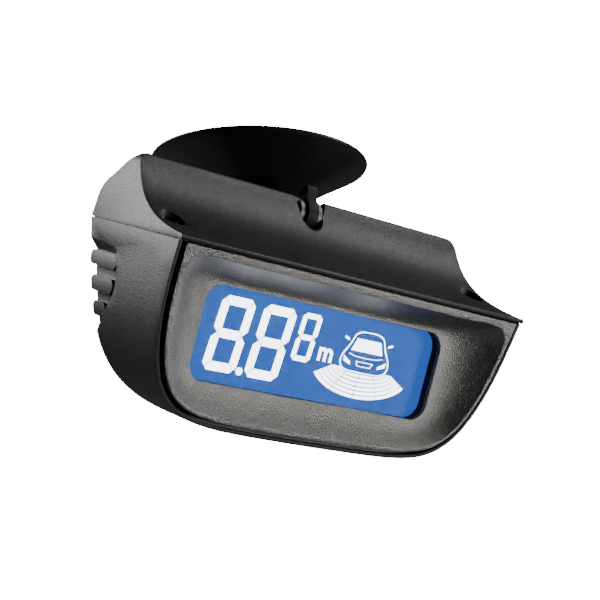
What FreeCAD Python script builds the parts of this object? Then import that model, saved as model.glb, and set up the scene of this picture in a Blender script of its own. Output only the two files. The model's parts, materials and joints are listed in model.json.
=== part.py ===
"""Parking-sensor display that hangs from a windscreen on a suction cup.

Built in the display's frame: X to the viewer's right, Y into the display, Z up, millimetres,
with 0, 0, 0 at the centre of the display window.  Every shape is moved at export so that the
part's origin is the centre of the suction cup's sealing face.
"""
import FreeCAD, Part
import math
import os
from FreeCAD import Vector as V

# ---- driving dimensions ----
HALF_WIDTH = 51.1      # casing, half its width at the front rim
SPLIT_Z = 18.0         # height of the joint between top shell and main housing
BASE_Z = -20.7         # lowest point of the casing
TAPER = 0.0017         # the sides close in by this share of their width per mm of depth
LEAN = 0.157           # the front leans forward at the top by this much per mm of height
CREST_Y = -6.0         # depth of the bezel's crest at Z = 0
RIM_Y = -5.4           # depth of the main housing's front rim at Z = 0
WALL = 2.0             # casing wall
LIP = 0.8              # thin edge of the main housing outside the shadow groove
GROOVE = 1.0           # width of the shadow groove round the bezel
GROOVE_DEPTH = 2.4
RECESS = 1.9           # depth of the finger recesses at the back of the casing
RECESS_STEP = 0.6      # depth of their front edge
RECESS_SLOPE = 0.08    # and how fast they sink with depth
DRAFT = 0.4            # the top shell's ends lean in by this much up to their corners
SEAM = 0.2             # height of the shadow line between top shell and main housing
GAP = 0.1              # assembly gap between inner pieces
TOP_GAP = 0.35         # shadow gap between the bezel and the top shell's lip
BAFFLE_Z = 16.2        # lower edge of the rib behind that gap, which keeps the light out
BAFFLE_THICK = 1.2

WINDOW_X = 35.3        # half width of the display window
WINDOW_Z = 10.7        # half height of the display window
WINDOW_R = 4.3
LAND = 0.35            # flat edge round the window at the foot of the dish
BEZEL_BACK = 1.2
CREST_TOP = 2.1        # height of the bezel's flat crest along the top
CREST_SIDE = 0.9       # width of the bezel's crest along the sides and the bottom

LCD_Y = 3.6            # front face of the liquid-crystal panel
LCD_X = 36.8
LCD_Z = 12.6
LCD_THICK = 2.8
SEGMENT_THICK = 0.15
SEGMENT_LINE = 0.22    # fine dark line between neighbouring segments
FAN_LINE = 0.27        # and between the cells of the range fan
COVER_THICK = 0.5
GUIDE_THICK = 3.0
FRAME_X = 40.5
FRAME_Z = 14.5
FRAME_BACK = 10.9
BOARD_THICK = 1.6
BOARD_REAR = FRAME_BACK + BOARD_THICK

PIN = V(0, 19.8, 30.4)          # tilt hinge axis, along X
PIN_R = 1.5
KNUCKLE_R = 4.2
ARM_THICK = 3.0
SLOT_X = 3.2                    # half width of the arm's slot in the top shell
NOTCH_TIP_Z = 27.2
NOTCH_R = 3.5
CUP_CENTRE = V(0, 41.4, 40.4)   # centre of the suction cup's sealing face
CUP_TILT = 20.3                 # degrees that the cup's axis leans away from vertical
CUP_R = 26.5
NECK_R = 4.8
NECK_DEPTH = 14.5               # from the sealing face to the neck's lower face
STUD_R = 3.0
EYE_THICK = 3.4
EYE_R = 6.4
EYE_GAP = 0.1
POCKET_R = 7.6                  # pocket behind the ridge that clears the eye and the stud
RUN = 0.05                      # radial running clearance

SCREW_X = 45.5                  # case screw wells
SCREW_Y = 5.0
WELL_R = 3.15
WELL_FLOOR_Z = 17.2
WELL_BOSS_Z = 16.0              # underside of the boss that holds the well's floor
BOARD_SCREWS = [(-38.9, 11.0), (38.9, 11.0), (-38.9, -5.0), (38.9, -5.0)]
SOCKET_HALF = (5.5, 4.0)        # half width and half height of the cable socket
SOCKET_X = 24.0
SOCKET_Z = 7.0
SOCKET_END = 26.8
FAR = 70.0

# right half of the casing's front outline, from the split line down to the middle of the base
OUTLINE = [(HALF_WIDTH, SPLIT_Z), (50.1, 5.0), (47.0, -7.5), (43.1, -14.0), (37.4, -18.0),
           (28.6, -20.0), (15.0, -20.6), (0.0, BASE_Z)]
# side view, (Y, Z): back and underside of the main housing, from the split line forwards
REAR = [(32.9, SPLIT_Z), (29.4, 9.0), (25.8, 0.0), (22.0, -9.0), (16.2, -16.2), (7.0, -20.0), (-4.0, -21.2)]
# side view, (Y, Z): the trough that rises from the front lip to the ridge
TROUGH = [(-7.9, 19.1), (1.1, 20.6), (8.3, 23.2), (12.4, 25.9), (16.2, 30.2), (18.1, 33.5)]
RIDGE = (19.0, 34.1)
BACK_SLOPE = [(20.2, 33.4), (28.6, 27.5), (31.4, 25.2), (32.5, 22.0), (32.9, SPLIT_Z)]


# ---- helpers ----
def block(x0, x1, y0, y1, z0, z1):
    return Part.makeBox(x1 - x0, y1 - y0, z1 - z0, V(x0, y0, z0))


def rod(radius, start, end):
    way = end - start
    return Part.makeCylinder(radius, way.Length, start, way)


def spline(points):
    curve = Part.BSplineCurve()
    curve.interpolate(points)
    return curve.toShape()


def polygon(points):
    return Part.makePolygon(points + points[:1])


def extrude_x(wire, half):
    face = Part.Face(wire)
    face.translate(V(-half, 0, 0))
    return face.extrude(V(2 * half, 0, 0))


def side_plate(points, half):
    """A plate across the middle, from (Y, Z) corners."""
    return extrude_x(polygon([V(0, y, z) for y, z in points]), half)


def front_plate(points, y0, y1):
    """A plate facing the viewer, from (X, Z) corners."""
    return Part.Face(polygon([V(x, y0, z) for x, z in points])).extrude(V(0, y1 - y0, 0))


def offset(points, inset):
    """Moves a row of 2-D points inwards, to the right of the way they run."""
    moved = []
    for i, (x, z) in enumerate(points):
        ax, az = points[max(i - 1, 0)]
        bx, bz = points[min(i + 1, len(points) - 1)]
        length = math.hypot(bx - ax, bz - az)
        moved.append((x + inset * (bz - az) / length, z - inset * (bx - ax) / length))
    return moved


def offset_closed(points, inset):
    """The same for a closed row of points that runs clockwise."""
    return offset(points[-1:] + points + points[:1], inset)[1:-1]


def rounded(half_x, half_z, radius, y0, y1):
    """A rounded rectangle facing the viewer, centred on the window."""
    solid = block(-half_x, half_x, y0, y1, -half_z, half_z)
    corners = [e for e in solid.Edges if abs(e.Vertexes[0].Y - e.Vertexes[1].Y) > 1e-6]
    return solid.makeFillet(radius, corners)


def behind(depth_at_zero):
    """Everything behind a plane that leans with the front."""
    top, low = FAR, -FAR
    front = [(depth_at_zero - LEAN * low, low), (depth_at_zero - LEAN * top, top)]
    return side_plate(front + [(FAR, top), (FAR, low)], FAR)


def cup_axis():
    tilt = math.radians(CUP_TILT)
    return V(0, math.sin(tilt), math.cos(tilt))


def on_cup_axis(depth):
    return CUP_CENTRE - cup_axis() * depth


# ---- casing volumes ----
def half_outline(inset, count=14):
    """Points down the right side of the front outline, moved inwards."""
    mirrored = [(-x, z) for x, z in reversed(OUTLINE[:-1])]
    edge = spline([V(x, 0, z) for x, z in OUTLINE + mirrored])
    points = offset([(p.x, p.z) for p in edge.discretize(2 * count - 1)], inset)[:count]
    points[0] = (points[0][0], SPLIT_Z)
    points[-1] = (0.0, points[-1][1])
    return points


def outline_wire(inset, y, lift=0.0):
    scale = 1 - TAPER * (y - CREST_Y)
    right = [V(x * scale, y, z) for x, z in half_outline(inset)]
    left = [V(-p.x, y, p.z) for p in reversed(right[:-1])]
    curve = spline(right + left)
    top = [V(-right[0].x, y, SPLIT_Z + lift), V(right[0].x, y, SPLIT_Z + lift)]
    if lift:
        corners = [left[-1]] + top + [right[0]]
        lines = [Part.makeLine(a, b) for a, b in zip(corners, corners[1:])]
    else:
        lines = [Part.makeLine(left[-1], right[0])]
    return Part.Wire([curve] + lines)


def front_prism(inset, lift=0.0):
    """The front outline carried back through the casing, narrowing with depth."""
    return Part.makeLoft([outline_wire(inset, -14.0, lift), outline_wire(inset, 44.0, lift)], True, True)


def lower_side(inset, lift=0.0):
    """Side view of the main housing, right across."""
    rear = [V(0, y, z) for y, z in offset(REAR, inset)]
    rear[0] = V(0, rear[0].y, SPLIT_Z)
    corners = [rear[-1], V(0, -30, rear[-1].z), V(0, -30, SPLIT_Z + lift), V(0, rear[0].y, SPLIT_Z + lift)]
    lines = [Part.makeLine(a, b) for a, b in zip(corners, corners[1:])]
    if lift:
        lines.append(Part.makeLine(corners[-1], rear[0]))
    else:
        lines[-1] = Part.makeLine(corners[2], rear[0])
    return extrude_x(Part.Wire([spline(rear)] + lines), FAR)


def upper_side():
    """Side view of the top shell: lip, trough, ridge and back slope."""
    lip_z = TROUGH[0][1]
    lip_y = CREST_Y - LEAN * lip_z
    lip_low = V(0, CREST_Y - LEAN * SPLIT_Z, SPLIT_Z)
    lip_high = V(0, lip_y, lip_z - 0.7)
    start = V(0, *TROUGH[0])
    round_lip = Part.Arc(lip_high, V(0, lip_y + 0.25, lip_z - 0.2), start).toShape()
    trough = spline([V(0, y, z) for y, z in TROUGH])
    crest = Part.Arc(V(0, *TROUGH[-1]), V(0, *RIDGE), V(0, *BACK_SLOPE[0])).toShape()
    slope = Part.makeLine(V(0, *BACK_SLOPE[0]), V(0, *BACK_SLOPE[1]))
    turn = Part.Arc(V(0, *BACK_SLOPE[1]), V(0, *BACK_SLOPE[2]), V(0, *BACK_SLOPE[3])).toShape()
    back = Part.makeLine(V(0, *BACK_SLOPE[3]), V(0, *BACK_SLOPE[4]))
    base = Part.makeLine(V(0, *BACK_SLOPE[4]), lip_low)
    edges = [Part.makeLine(lip_low, lip_high), round_lip, trough, crest, slope, turn, back, base]
    return extrude_x(Part.Wire(edges), FAR)


def upper_ends(inset, radius):
    """The top shell seen from the front: upright ends with round top corners."""
    top = RIDGE[1] + 0.05 - inset

    def wire(y):
        half = (HALF_WIDTH - inset) * (1 - TAPER * (y - CREST_Y))
        c = radius * (1 - math.sqrt(0.5))
        shoulder = half - DRAFT
        right = [V(half, y, SPLIT_Z), V(shoulder, y, top - radius), V(shoulder - c, y, top - c),
                 V(shoulder - radius, y, top)]
        left = [V(-p.x, y, p.z) for p in right]
        return Part.Wire([Part.makeLine(left[0], right[0]), Part.makeLine(right[0], right[1]),
                          Part.Arc(*right[1:]).toShape(), Part.makeLine(right[3], left[3]),
                          Part.Arc(*reversed(left[1:])).toShape(), Part.makeLine(left[1], left[0])])
    return Part.makeLoft([wire(-14.0), wire(44.0)], True, True)


def top_core():
    """Hollow of the top shell, one wall inside its outer faces."""
    inner_trough = offset(TROUGH[1:], WALL)
    corner = (RIDGE[0] + 0.9, RIDGE[1] - 2.6)
    back = [(28.2, 26.0), (30.3, 22.5), (30.6, SPLIT_Z)]
    points = [(inner_trough[0][0] + 3.0, SPLIT_Z)] + inner_trough[1:-1] + [corner] + back
    return side_plate(points, FAR).common(upper_ends(WALL, 2.0))


# ---- casing parts ----
def arm_slot():
    """Notch in the ridge and the slot behind it that the arm swings in."""
    low = NOTCH_TIP_Z + NOTCH_R
    tip = Part.Arc(V(-NOTCH_R, 0, low), V(0, 0, NOTCH_TIP_Z), V(NOTCH_R, 0, low)).toShape()
    right = [V(NOTCH_R, 0, low), V(5.2, 0, 34.6), V(6.6, 0, 37.0)]
    rim = right + [V(-p.x, 0, p.z) for p in reversed(right)]
    sides = [Part.makeLine(a, b) for a, b in zip(rim, rim[1:])]
    notch = Part.Face(Part.Wire([tip] + sides)).extrude(V(0, 40, 0))
    clear = KNUCKLE_R + 0.5
    knuckle = rod(clear, PIN - V(SLOT_X, 0, 0), PIN + V(SLOT_X, 0, 0))
    swing = side_plate([(PIN.y, PIN.z - clear), (34, 16), (60, 16), (60, 60), (PIN.y - 1.0, 60)], SLOT_X)
    return notch.fuse(knuckle).fuse(swing)


def stud_pocket(radius):
    return rod(radius, on_cup_axis(2), on_cup_axis(25.5))


def top_shell():
    ends = upper_ends(0, 3.0)
    outer = upper_side().common(ends)
    hollow = top_core()
    keep = block(-8.0, 8.0, 8.0, 40.0, SPLIT_Z - 5, 50).fuse(stud_pocket(POCKET_R + 1.4))
    for side in (-1, 1):
        centre = V(side * SCREW_X, SCREW_Y, 0)
        keep = keep.fuse(rod(WELL_R + 1.3, centre, centre + V(0, 0, 60)))
    shell = outer.cut(hollow.cut(keep))
    shell = shell.cut(arm_slot()).cut(stud_pocket(POCKET_R))
    inside = front_prism(WALL + GAP, 2.0).common(block(-FAR, FAR, BEZEL_BACK + GAP, 20, 0, SPLIT_Z + 1))
    for side in (-1, 1):
        floor = V(side * SCREW_X, SCREW_Y, WELL_FLOOR_Z)
        boss = rod(WELL_R + 1.2, V(floor.x, floor.y, WELL_BOSS_Z), V(floor.x, floor.y, SPLIT_Z + 1))
        shell = shell.fuse(boss.common(inside))
        shell = shell.cut(rod(WELL_R, floor, floor + V(0, 0, 20)))
        shell = shell.cut(rod(1.4, floor - V(0, 0, 5), floor + V(0, 0, 5)))
    baffle_y = BEZEL_BACK + GAP
    half = SCREW_X - 1.0
    shell = shell.fuse(block(-half, half, baffle_y, baffle_y + BAFFLE_THICK, BAFFLE_Z, SPLIT_Z + 0.5))
    shell = shell.cut(rod(PIN_R, PIN - V(7.0, 0, 0), PIN + V(7.0, 0, 0)))
    return shell.removeSplitter()


def grip_rib(y0, y1, z0, z1, side):
    """One finger rib with round ends, standing on the floor of the side recess."""
    radius = (z1 - z0) / 2
    middle = (z0 + z1) / 2
    bar = side_plate([(y0 + radius, z0), (y1 - radius, z0), (y1 - radius, z1), (y0 + radius, z1)], 7.0)
    for y in (y0 + radius, y1 - radius):
        bar = bar.fuse(rod(radius, V(-7, y, middle), V(7, y, middle)))
    bar.translate(V(side * 47.0, 0, 0))
    return bar


def grip_recess(side):
    """Scooped finger recess in one side: it sinks towards the back, under a sloped brow."""
    top, front, back = 11.3, 15.0, 43.0
    edge = Part.Arc(V(0, 18.4, top), V(0, 15.8, 7.0), V(0, 18.3, 0.2)).toShape()
    corners = [V(0, 18.3, 0.2), V(0, 23.4, -6.3), V(0, back, -6.3), V(0, back, top), V(0, 18.4, top)]
    lines = [Part.makeLine(a, b) for a, b in zip(corners, corners[1:])]
    area = extrude_x(Part.Wire([edge] + lines), 7.0)
    area.translate(V(side * 48.5, 0, 0))
    deepest = RECESS_STEP + RECESS_SLOPE * (back - front)
    floor = Part.makeLoft([outline_wire(RECESS_STEP, front), outline_wire(deepest, back)], True, True)
    brow = []
    for y, depth in ((front + 2.5, RECESS_STEP), (back, deepest)):
        x = (HALF_WIDTH - 0.25) * (1 - TAPER * (y - CREST_Y))
        upper, inner, outer = (x + 0.3, top + 2.4), (x - depth, top), (x + 2, top)
        brow.append(polygon([V(side * x, y, z) for x, z in (upper, inner, outer)]))
    return area.cut(floor).fuse(Part.makeLoft(brow, True, True))


def main_housing():
    outer = front_prism(0).common(lower_side(0))
    body = outer.common(behind(RIM_Y))
    for side in (-1, 1):
        recess = grip_recess(side)
        ribs = [grip_rib(16.6, 29.6, 7.8, 11.0, side), grip_rib(16.9, 27.6, 2.3, 5.7, side),
                grip_rib(19.4, 25.4, -2.9, 0.3, side)]
        for rib in ribs:
            recess = recess.cut(rib)
        body = body.cut(recess)
    cavity = front_prism(WALL, 5.0).common(lower_side(WALL, 5.0))
    thicker = front_prism(WALL + RECESS, 5.0)
    grips = block(-FAR, FAR, 14.5, 45, -8.0, 15.0)
    cavity = cavity.cut(grips).fuse(cavity.common(grips).common(thicker))
    keep = stud_pocket(POCKET_R + 1.4)
    for side in (-1, 1):
        centre = V(side * SCREW_X, SCREW_Y, 0)
        keep = keep.fuse(rod(3.0, centre + V(0, 0, 5), centre + V(0, 0, WELL_BOSS_Z)))
    body = body.cut(cavity.cut(keep))
    rebate = front_prism(LIP, 5.0).cut(behind(RIM_Y + GROOVE_DEPTH))
    body = body.cut(rebate).cut(stud_pocket(POCKET_R))
    for side in (-1, 1):
        top = V(side * SCREW_X, SCREW_Y, WELL_BOSS_Z)
        body = body.cut(rod(1.0, top - V(0, 0, 9), top))
    tongue = front_prism(0.5, 5.0).common(lower_side(0.5, 5.0))
    body = body.cut(block(-FAR, FAR, -20, 60, SPLIT_Z - SEAM, SPLIT_Z + 1).cut(tongue))
    half_x, half_z = SOCKET_HALF
    body = body.cut(block(SOCKET_X - half_x - GAP, SOCKET_X + half_x + GAP, 20, 40,
                          SOCKET_Z - half_z - GAP, SOCKET_Z + half_z + GAP))
    return body


def resample(points, count):
    """Even points along a row of (X, Z) points, without the last one."""
    row = Part.makePolygon([V(x, 0, z) for x, z in points])
    return [(p.x, p.z) for p in row.discretize(count + 1)[:-1]]


def quarter(cx, cz, radius, start):
    """Quarter turn of points, clockwise from the angle start in degrees."""
    angles = [math.radians(start - 15 * k) for k in range(7)]
    return [(cx + radius * math.cos(a), cz + radius * math.sin(a)) for a in angles]


def crest_ring():
    """Inner edge of the bezel's crest, right half, from the top centre clockwise."""
    down = half_outline(LIP + GROOVE + CREST_SIDE, 60)
    top = SPLIT_Z - CREST_TOP
    radius = 4.5
    side_x = [x for x, z in down if z < top - radius][0]
    side = [(x, z) for x, z in down if -7.0 < z < top - radius]
    corner = [(x, z) for x, z in down if z <= -7.0 and x > 30.0]
    base = [(x, z) for x, z in down if x <= 30.0]
    pieces = [[(0.0, top), (side_x - radius, top)], quarter(side_x - radius, top - radius, radius, 90),
              side + corner[:1], corner + base[:1], base]
    return pieces


def window_ring():
    """Foot of the dish, a narrow land outside the display window, in the same five pieces."""
    x, z, r = WINDOW_X + LAND, WINDOW_Z + LAND, WINDOW_R + LAND
    return [[(0.0, z), (x - r, z)], quarter(x - r, z - r, r, 90), [(x, z - r), (x, r - z)],
            quarter(x - r, r - z, r, 0), [(x - r, -z), (0.0, -z)]]


def dish():
    """The dished face as a solid to cut away: steep at the crest, level at the window."""
    counts = (5, 4, 5, 6, 6)
    outer = [p for piece, n in zip(crest_ring(), counts) for p in resample(piece, n)]
    inner = [p for piece, n in zip(window_ring(), counts) for p in resample(piece, n)]
    outer.append((0.0, crest_ring()[-1][-1][1]))
    inner.append((0.0, -WINDOW_Z - LAND))
    sections = []
    for step in (-0.12, 0.0, 0.12, 0.28, 0.46, 0.66, 0.84, 1.0):
        depth = 1 - (1 - step) ** 2
        right = []
        for (ax, az), (bx, bz) in zip(outer, inner):
            x = ax + (bx - ax) * max(step, 0)
            z = az + (bz - az) * max(step, 0)
            front = CREST_Y - LEAN * az
            right.append(V(x, front * (1 - depth), z))
        left = [V(-p.x, p.y, p.z) for p in reversed(right[1:-1])]
        curve = Part.BSplineCurve()
        curve.interpolate(Points=right + left, PeriodicFlag=True)
        sections.append(Part.Wire([curve.toShape()]))
    return Part.makeLoft(sections, True, False)


def bezel():
    front = front_prism(LIP + GROOVE).common(behind(CREST_Y)).cut(behind(RIM_Y + GROOVE_DEPTH - GAP))
    flange = front_prism(WALL + GAP).common(behind(RIM_Y + 0.5))
    blank = front.fuse(flange).cut(block(-FAR, FAR, BEZEL_BACK, 60, -60, 60))
    blank = blank.cut(block(-FAR, FAR, -60, 60, SPLIT_Z - TOP_GAP, 60))
    opening = rounded(WINDOW_X, WINDOW_Z, WINDOW_R, -4.0, 4.0)
    return blank.cut(dish()).cut(opening)


# ---- display stack ----
def display_gasket():
    outer = block(-LCD_X, LCD_X, BEZEL_BACK + GAP, LCD_Y - SEGMENT_THICK - COVER_THICK - GAP, -LCD_Z, LCD_Z)
    return outer.cut(rounded(WINDOW_X, WINDOW_Z, WINDOW_R, 0, 5))


def display_cover():
    back = LCD_Y - SEGMENT_THICK
    return block(-LCD_X, LCD_X, back - COVER_THICK, back, -LCD_Z, LCD_Z)


def lcd_panel():
    return block(-LCD_X, LCD_X, LCD_Y, LCD_Y + LCD_THICK, -LCD_Z, LCD_Z)


def segment(points, left, base, slant):
    """One segment from (X, Z) corners in the digit's own square, trimmed for the fine line round it."""
    placed = [V(left + x + slant * z, LCD_Y - SEGMENT_THICK, base + z) for x, z in points]
    face = Part.Face(polygon(placed)).makeOffset2D(-SEGMENT_LINE / 2)
    return face.extrude(V(0, SEGMENT_THICK, 0))


def digit(left, base, width, height, stroke, slant=0.088):
    """Seven mitred segments with cut corners, leaning to the right by slant per mm of height."""
    w, h, s = width, height, stroke
    m, k, c = h / 2, stroke / 2, stroke * 0.66
    top = [(c, h), (w - c, h), (w - c / 2, h - c / 2), (w - s, h - s), (s, h - s), (c / 2, h - c / 2)]
    upper = [(0, h - c), (c / 2, h - c / 2), (s, h - s), (s, m + k), (k, m), (0, m + k)]
    middle = [(k, m), (s, m + k), (w - s, m + k), (w - k, m), (w - s, m - k), (s, m - k)]
    shapes = [top, [(x, h - z) for x, z in top], middle]
    for flip_x in (False, True):
        for flip_z in (False, True):
            shapes.append([(w - x if flip_x else x, h - z if flip_z else z) for x, z in upper])
    return [segment(shape, left, base, slant) for shape in shapes]


def lcd_segments():
    pieces = digit(-29.9, -8.3, 9.4, 17.1, 2.3)
    pieces += digit(-18.2, -8.3, 9.6, 17.1, 2.3)
    pieces += digit(-6.4, -2.6, 5.8, 11.4, 1.45)
    point = V(-19.4, LCD_Y - SEGMENT_THICK, -7.3)
    pieces.append(Part.makeCylinder(0.9, SEGMENT_THICK, point, V(0, 1, 0)))
    return Part.makeCompound(pieces)


def ellipse(cx, cz, half_x, half_z):
    face = Part.Face(Part.Wire([Part.Ellipse(V(0, 0, 0), half_x, half_z).toShape()]))
    face.rotate(V(0, 0, 0), V(1, 0, 0), 90)
    face.translate(V(cx, LCD_Y - SEGMENT_THICK, cz))
    return face.extrude(V(0, SEGMENT_THICK, 0))


def stroke_between(ax, az, bx, bz, width):
    """A straight stroke from one (X, Z) point to another."""
    length = math.hypot(bx - ax, bz - az)
    dx, dz = (bz - az) / length * width / 2, -(bx - ax) / length * width / 2
    corners = [(ax + dx, az + dz), (bx + dx, bz + dz), (bx - dx, bz - dz), (ax - dx, az - dz)]
    return front_plate(corners, LCD_Y - SEGMENT_THICK, LCD_Y)


def closed_face(points):
    """A face within a smooth closed curve through (X, Z) points, at the front of the segments."""
    curve = Part.BSplineCurve()
    curve.interpolate(Points=[V(x, LCD_Y - SEGMENT_THICK, z) for x, z in points], PeriodicFlag=True)
    return Part.Face(Part.Wire([curve.toShape()]))


def range_fan():
    """Cells that light up as an obstacle comes nearer: nested arcs in four sectors below the car."""
    cx, cz = 15.65, -1.9
    rows, pitch_x, pitch_z = 6, 1.48, 1.0
    front = LCD_Y - SEGMENT_THICK
    corners = [(cx - 15.3, cz - 2.9), (cx - 9.2, cz + 0.2), (cx + 9.2, cz + 0.2), (cx + 15.3, cz - 2.9),
               (cx + 15.3, cz - 9), (cx - 15.3, cz - 9)]
    field = front_plate(corners, front, LCD_Y)
    field = field.cut(closed_face(offset_closed(car_outline(), -0.25)).extrude(V(0, SEGMENT_THICK, 0)))
    for top_x, low_x in ((-4.6, -9.6), (-0.4, -1.1), (3.9, 7.0)):
        field = field.cut(stroke_between(cx + top_x, cz - 0.4, cx + low_x, cz - 7.6, FAN_LINE))
    cells = []
    for row in range(rows):
        half_x, half_z = 6.4 + pitch_x * row, 0.9 + pitch_z * row
        ring = ellipse(cx, cz, half_x + pitch_x - FAN_LINE, half_z + pitch_z - FAN_LINE)
        cells += ring.cut(ellipse(cx, cz, half_x, half_z)).common(field).Solids
    return [cell for cell in cells if cell.Volume > 0.02]


def unit_letter():
    """Letter m for metres."""
    stem, height, pitch = 0.75, 3.2, 1.75
    left, base = 1.5, -1.5
    front = LCD_Y - SEGMENT_THICK
    letter = block(left, left + stem, front, LCD_Y, base, base + height)
    for k in range(2):
        outer, inner = (pitch + stem) / 2, (pitch - stem) / 2
        x = left + stem / 2 + pitch * (k + 0.5)
        z = base + height - outer
        arch = ellipse(x, z, outer, outer).cut(ellipse(x, z, inner, inner))
        letter = letter.fuse(arch.cut(block(x - pitch, x + pitch, 0, LCD_Y, z - pitch, z)))
        letter = letter.fuse(block(x + inner, x + outer, front, LCD_Y, base, z))
    return letter.removeSplitter()


def car_outline():
    """Corner points of a plain car seen from the front, clockwise from the middle of the roof."""
    cx = 15.8
    half = [(0.0, 7.35), (2.6, 7.2), (4.4, 6.4), (5.4, 4.4), (6.7, 2.3), (7.55, 0.4), (7.3, -1.2),
            (5.9, -2.2), (3.0, -2.5), (0.0, -2.55)]
    return [(cx + x, z) for x, z in half + [(-x, z) for x, z in reversed(half[1:-1])]]


def car_picture():
    """The car in strokes: outline, windscreen, lamps, mirrors, bonnet edge and grille."""
    cx, front, line, fine = 15.8, LCD_Y - SEGMENT_THICK, 0.26, 0.16
    around = car_outline()
    within = closed_face(offset_closed(around, line))
    pieces = [closed_face(around).cut(within).extrude(V(0, SEGMENT_THICK, 0))]
    screen = [(-3.7, 5.5), (3.7, 5.5), (4.9, 2.5), (-4.9, 2.5)]
    lamp = [(6.6, 1.0), (6.5, -0.2), (4.4, -0.9), (4.3, -0.3)]
    mirror = [(6.3, 5.2), (7.6, 5.5), (7.5, 5.0), (6.2, 4.6)]
    shapes = [screen] + [[(side * x, z) for x, z in shape] for side in (-1, 1) for shape in (lamp, mirror)]
    for shape in shapes:
        pieces.append(front_plate([(cx + x, z) for x, z in shape], front, LCD_Y))
    grille = [(-2.7, 0.2), (2.7, 0.2), (2.1, -1.0), (-2.1, -1.0)]
    face = Part.Face(polygon([V(cx + x, front, z) for x, z in grille]))
    pieces.append(face.cut(face.makeOffset2D(-fine)).extrude(V(0, SEGMENT_THICK, 0)))
    bonnet = [(-5.2, 1.7), (-3.6, 1.3), (0.0, 1.15), (3.6, 1.3), (5.2, 1.7)]
    strokes = [stroke_between(cx + ax, az, cx + bx, bz, fine)
               for (ax, az), (bx, bz) in zip(bonnet, bonnet[1:])]
    pieces.append(strokes[0].multiFuse(strokes[1:]).removeSplitter())
    return pieces


def lcd_icons():
    return Part.makeCompound(range_fan() + [unit_letter()] + car_picture())


def frame_plate(y0, y1):
    points = [(-FRAME_X, FRAME_Z), (FRAME_X, FRAME_Z), (FRAME_X, -7.0), (37.4, -FRAME_Z),
              (-37.4, -FRAME_Z), (-FRAME_X, -7.0)]
    return front_plate(points, y0, y1)


def display_frame():
    pocket = block(-LCD_X - GAP, LCD_X + GAP, 0, FRAME_BACK - 1.3, -LCD_Z - GAP, LCD_Z + GAP)
    body = frame_plate(BEZEL_BACK + GAP, FRAME_BACK).cut(pocket)
    body = body.cut(block(-27, 27, 8, 12, -12.5, -11.3))
    for x, z in BOARD_SCREWS:
        body = body.cut(rod(0.85, V(x, 5.0, z), V(x, 12.0, z)))
    return body


def backlight_guide():
    front = LCD_Y + LCD_THICK + GAP
    return block(-35.4, 35.4, front, front + GUIDE_THICK, -11.0, 11.6)


def backlight_leds():
    front = LCD_Y + LCD_THICK + 0.6
    lamps = [block(side * 36.1 - 0.6, side * 36.1 + 0.6, front, front + 2.0, z - 1.6, z + 1.6)
             for side in (-1, 1) for z in (-5.5, 5.5)]
    return Part.makeCompound(lamps)


def pin_places():
    return [V(-23.75 + 2.5 * k, 0, -11.9) for k in range(20)]


def lcd_pins():
    start = LCD_Y + LCD_THICK
    pins = [rod(0.25, p + V(0, start, 0), p + V(0, BOARD_REAR + 0.8, 0)) for p in pin_places()]
    return Part.makeCompound(pins)


# ---- circuit board ----


def main_board():
    board = frame_plate(FRAME_BACK, BOARD_REAR)
    board = board.cut(block(-FAR, FAR, 0, 60, -20, -13.4))
    for x, z in BOARD_SCREWS:
        board = board.cut(rod(0.95, V(x, 5, z), V(x, 20, z)))
    for p in pin_places():
        board = board.cut(rod(0.35, p, p + V(0, 30, 0)))
    return board


def controller_chip():
    body = block(-10, 0, BOARD_REAR + 0.2, BOARD_REAR + 1.6, -8, 2)
    legs = []
    for k in range(8):
        at = -9.0 + 1.143 * k
        legs.append(block(at - 0.2, at + 0.2, BOARD_REAR, BOARD_REAR + 0.6, -9.2, 3.2))
        legs.append(block(-11.2, 1.2, BOARD_REAR, BOARD_REAR + 0.6, at + 1.8, at + 2.2))
    for leg in legs:
        body = body.fuse(leg)
    return body.removeSplitter()


def voltage_regulator():
    tab = block(8, 14, BOARD_REAR, BOARD_REAR + 0.6, -8.0, 0.5)
    return tab.fuse(block(8, 14, BOARD_REAR, BOARD_REAR + 2.3, -7.0, -0.8)).removeSplitter()


def buzzer():
    base = V(-24, BOARD_REAR, 1.5)
    case = Part.makeCylinder(6.0, 5.6, base, V(0, 1, 0))
    return case.cut(Part.makeCylinder(1.2, 2.0, base + V(0, 4.6, 0), V(0, 1, 0)))


def capacitors():
    cans = [Part.makeCylinder(2.5, 6.0, V(x, BOARD_REAR, 8.2), V(0, 1, 0)) for x in (3.0, 10.0)]
    return Part.makeCompound([can.makeFillet(0.4, [can.Edges[0]]) for can in cans])


def resistors():
    pitch, left = 3.0, -8.8
    row = [block(left + pitch * k, left + 1.2 + pitch * k, BOARD_REAR, BOARD_REAR + 0.5, 12.2, 13.0)
           for k in range(8)]
    return Part.makeCompound(row)


def cable_socket():
    half_x, half_z = SOCKET_HALF
    body = block(SOCKET_X - half_x, SOCKET_X + half_x, BOARD_REAR, SOCKET_END,
                 SOCKET_Z - half_z, SOCKET_Z + half_z)
    body = body.cut(block(SOCKET_X - 4.4, SOCKET_X + 4.4, 19.0, 30, SOCKET_Z - 2.9, SOCKET_Z + 2.9))
    for k in range(4):
        x = SOCKET_X - 3.0 + 2.0 * k
        body = body.fuse(block(x - 0.25, x + 0.25, 18.5, 21.0, SOCKET_Z - 0.25, SOCKET_Z + 0.25))
    return body.removeSplitter()


def slotted_screw(head_r, head_h, shank_r, length):
    """Screw with its head's underside at 0, 0, 0 and the head towards +Z."""
    head = Part.makeCylinder(head_r, head_h)
    head = head.cut(block(-head_r, head_r, -0.25, 0.25, head_h - 0.5, head_h + 1))
    return head.fuse(Part.makeCylinder(shank_r, length, V(0, 0, -length))).removeSplitter()


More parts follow.
